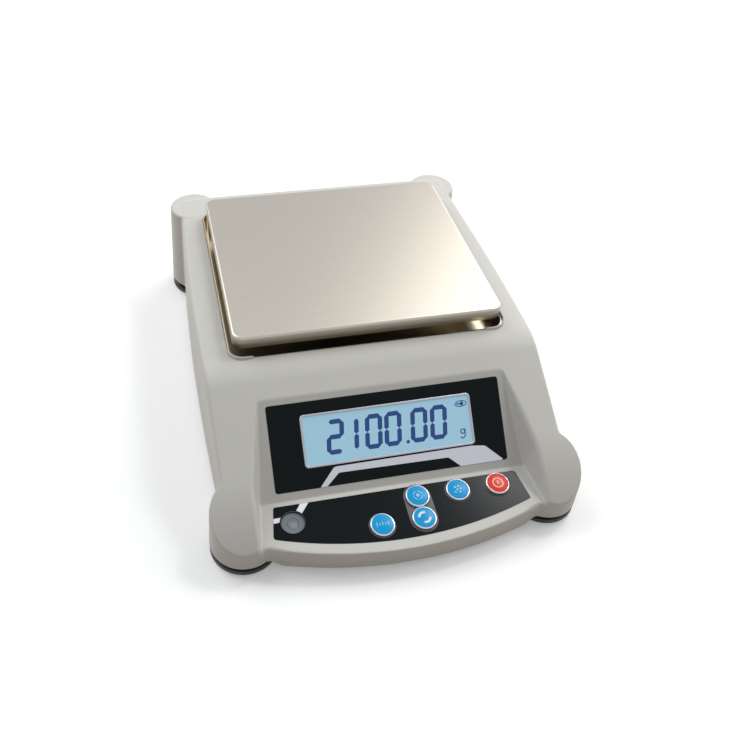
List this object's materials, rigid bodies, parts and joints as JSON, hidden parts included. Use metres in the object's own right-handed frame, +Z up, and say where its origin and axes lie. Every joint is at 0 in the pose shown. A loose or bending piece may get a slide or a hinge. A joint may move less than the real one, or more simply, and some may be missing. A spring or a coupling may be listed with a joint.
{
  "type": "precision balance",
  "caption": "Low laboratory precision balance with a rectangular steel weighing pan, corner lobes on levelling feet, a sloped display and a keypad.",
  "frame": {"origin": "on the table, under the middle of the plan's bounding box", "axes": "+Z up, +X to the user's right, -Y towards the user"},
  "size_m": [0.2122, 0.282, 0.08],
  "materials": {
    "housing_plastic": "moulded ABS in warm light grey, fine texture",
    "base_steel": "pressed steel plate, black powder coat",
    "liner_steel": "polished stainless sheet",
    "pan_steel": "brushed stainless sheet with a folded skirt",
    "cast_aluminium": "machined aluminium",
    "screw_steel": "zinc plated steel",
    "brass": "turned brass",
    "film_black": "printed polycarbonate film, satin",
    "lcd_frame_grey": "moulded frame, light grey",
    "lcd_blue": "display glass, pale blue backlight",
    "backlight_white": "white light guide",
    "board_green": "circuit board",
    "plate_grey": "printed metallic grey",
    "key_blue": "moulded key cap, blue face and silver side",
    "key_red": "moulded key cap, red face and silver side",
    "component_black": "moulded component bodies",
    "level_grey": "moulded level cup",
    "level_glass": "bubble level vial",
    "cable_grey": "flat ribbon cable",
    "wheel_black": "moulded levelling wheel",
    "pad_rubber": "rubber foot pad"
  },
  "bodies": {
    "housing": {"upper_housing": "housing_plastic", "base_plate": "base_steel", "well_liner": "liner_steel", "load_cell": "cast_aluminium", "load_cell_block": "cast_aluminium", "load_cell_screws": "screw_steel", "overload_stops": "brass", "display_film": "film_black", "lcd_frame": "lcd_frame_grey", "lcd_glass": "lcd_blue", "lcd_backlight": "backlight_white", "display_board": "board_green", "keypad_film": "film_black", "button_pair_plate": "plate_grey", "key_switches": "component_black", "keypad_board": "board_green", "level_cup": "level_grey", "level_vial": "level_glass", "main_board": "board_green", "board_components": "component_black", "ribbon_cable": "cable_grey", "power_jack": "component_black", "housing_screws": "screw_steel", "foot_inserts": "brass"},
    "pan_carrier": {"load_bracket": "cast_aluminium", "bracket_screws": "screw_steel", "pan_support": "cast_aluminium", "pan_cushions": "pad_rubber"},
    "pan": {"weighing_pan": "pan_steel"},
    "calibrate_key": {"calibrate_button": "key_blue"},
    "tare_key": {"tare_button": "key_blue"},
    "units_key": {"units_button": "key_blue"},
    "count_key": {"count_button": "key_blue"},
    "power_key": {"power_button": "key_red"},
    "front_left_foot_pad": {"front_left_pad": "pad_rubber"},
    "front_left_foot_wheel": {"front_left_wheel": "wheel_black"},
    "front_right_foot_pad": {"front_right_pad": "pad_rubber"},
    "front_right_foot_wheel": {"front_right_wheel": "wheel_black"},
    "rear_left_foot_pad": {"rear_left_pad": "pad_rubber"},
    "rear_left_foot_wheel": {"rear_left_wheel": "wheel_black"},
    "rear_right_foot_pad": {"rear_right_pad": "pad_rubber"},
    "rear_right_foot_wheel": {"rear_right_wheel": "wheel_black"}
  },
  "joints": [
    {"name": "pan_deflection", "type": "slide", "parent": "housing", "child": "pan_carrier", "axis": [0, 0, -1], "range_m": [0, 0.0004], "stiffness_N_per_m": 76000, "springref_m": -0.00006, "deforming": ["load_cell"]},
    {"name": "pan_lift_off", "type": "slide", "parent": "pan_carrier", "child": "pan", "axis": [0, 0, 1], "range_m": [0, 0.04]},
    {"name": "calibrate_press", "type": "slide", "parent": "housing", "child": "calibrate_key", "axis": [0, 0.1045, -0.9945], "range_m": [0, 0.0008], "stiffness_N_per_m": 1500, "springref_m": -0.0003},
    {"name": "tare_press", "type": "slide", "parent": "housing", "child": "tare_key", "axis": [0, 0.1045, -0.9945], "range_m": [0, 0.0008], "stiffness_N_per_m": 1500, "springref_m": -0.0003},
    {"name": "units_press", "type": "slide", "parent": "housing", "child": "units_key", "axis": [0, 0.1045, -0.9945], "range_m": [0, 0.0008], "stiffness_N_per_m": 1500, "springref_m": -0.0003},
    {"name": "count_press", "type": "slide", "parent": "housing", "child": "count_key", "axis": [0, 0.1045, -0.9945], "range_m": [0, 0.0008], "stiffness_N_per_m": 1500, "springref_m": -0.0003},
    {"name": "power_press", "type": "slide", "parent": "housing", "child": "power_key", "axis": [0, 0.1045, -0.9945], "range_m": [0, 0.0008], "stiffness_N_per_m": 1500, "springref_m": -0.0003},
    {"name": "front_left_foot_height", "type": "slide", "parent": "housing", "child": "front_left_foot_pad", "axis": [0, 0, -1], "range_m": [0, 0.004]},
    {"name": "front_left_foot_turn", "type": "hinge", "parent": "front_left_foot_pad", "child": "front_left_foot_wheel", "pos_m": [-0.087, -0.1122, 0.0022], "axis": [0, 0, -1], "range_deg": [0, 1440]},
    {"name": "front_right_foot_height", "type": "slide", "parent": "housing", "child": "front_right_foot_pad", "axis": [0, 0, -1], "range_m": [0, 0.004]},
    {"name": "front_right_foot_turn", "type": "hinge", "parent": "front_right_foot_pad", "child": "front_right_foot_wheel", "pos_m": [0.087, -0.1122, 0.0022], "axis": [0, 0, -1], "range_deg": [0, 1440]},
    {"name": "rear_left_foot_height", "type": "slide", "parent": "housing", "child": "rear_left_foot_pad", "axis": [0, 0, -1], "range_m": [0, 0.004]},
    {"name": "rear_left_foot_turn", "type": "hinge", "parent": "rear_left_foot_pad", "child": "rear_left_foot_wheel", "pos_m": [-0.087, 0.1219, 0.0022], "axis": [0, 0, -1], "range_deg": [0, 1440]},
    {"name": "rear_right_foot_height", "type": "slide", "parent": "housing", "child": "rear_right_foot_pad", "axis": [0, 0, -1], "range_m": [0, 0.004]},
    {"name": "rear_right_foot_turn", "type": "hinge", "parent": "rear_right_foot_pad", "child": "rear_right_foot_wheel", "pos_m": [0.087, 0.1219, 0.0022], "axis": [0, 0, -1], "range_deg": [0, 1440]}
  ],
  "couplings": [
    {"joint": "front_left_foot_height", "follows": "front_left_foot_turn", "m_per_rad": 0.00015915},
    {"joint": "front_right_foot_height", "follows": "front_right_foot_turn", "m_per_rad": 0.00015915},
    {"joint": "rear_left_foot_height", "follows": "rear_left_foot_turn", "m_per_rad": 0.00015915},
    {"joint": "rear_right_foot_height", "follows": "rear_right_foot_turn", "m_per_rad": 0.00015915}
  ]
}
